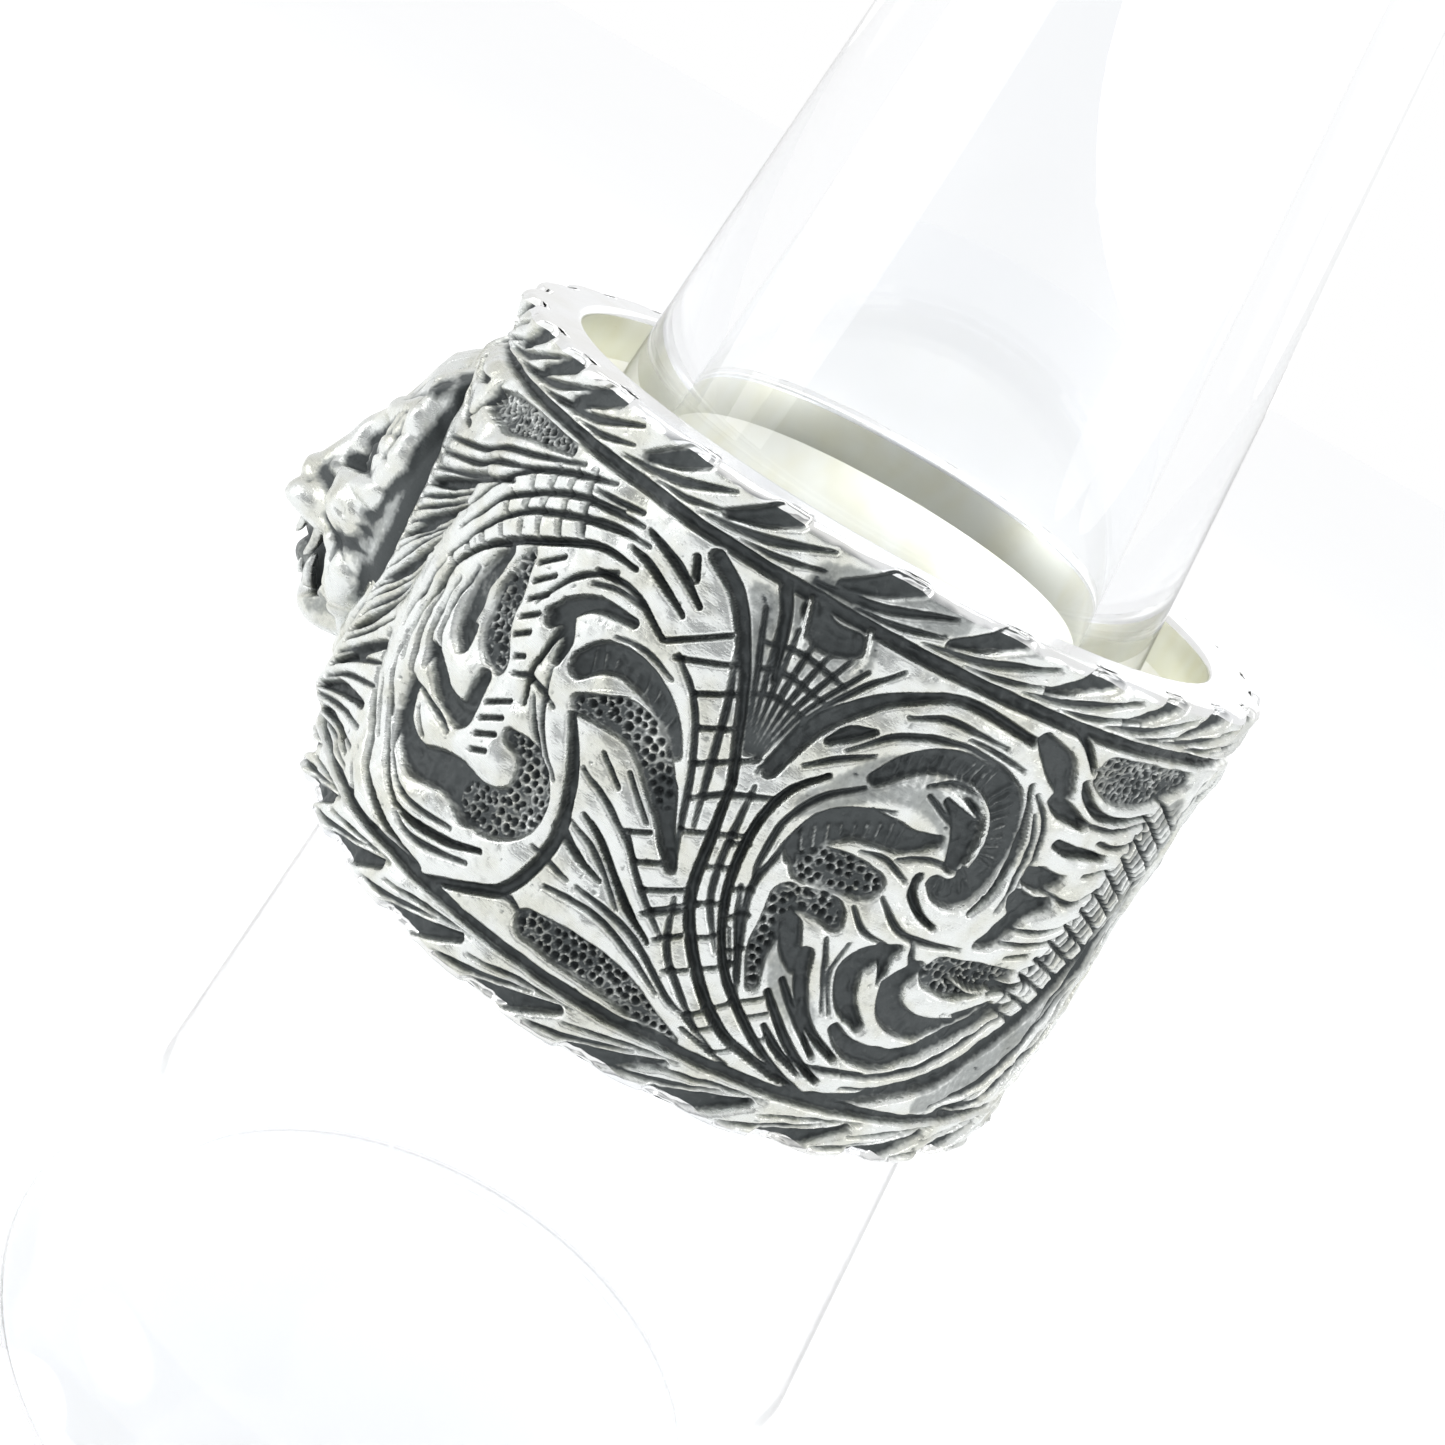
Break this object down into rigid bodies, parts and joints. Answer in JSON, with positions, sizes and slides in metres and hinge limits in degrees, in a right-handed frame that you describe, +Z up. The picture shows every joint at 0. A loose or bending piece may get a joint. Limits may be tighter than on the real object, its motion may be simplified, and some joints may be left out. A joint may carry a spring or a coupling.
{
  "type": "cat head ring on a clear ring stand",
  "caption": "Wide silver band ring with raised scroll relief, leaf-cut borders and an open-mouthed cat head, seated on a clear tapered ring stand.",
  "frame": {"origin": "centre of the stand's flat base, on the surface it stands on", "axes": "+Z up along the stand and through the ring, -Y the way the cat head looks, +X to the head's left"},
  "size_m": [0.029, 0.0302, 0.06],
  "materials": {
    "oxidised_silver": "sterling silver, bright on the high points and blackened in the recesses",
    "clear_acrylic": "polished clear"
  },
  "bodies": {
    "root": {"ring": "oxidised_silver", "ring_stand": "clear_acrylic"}
  },
  "joints": []
}
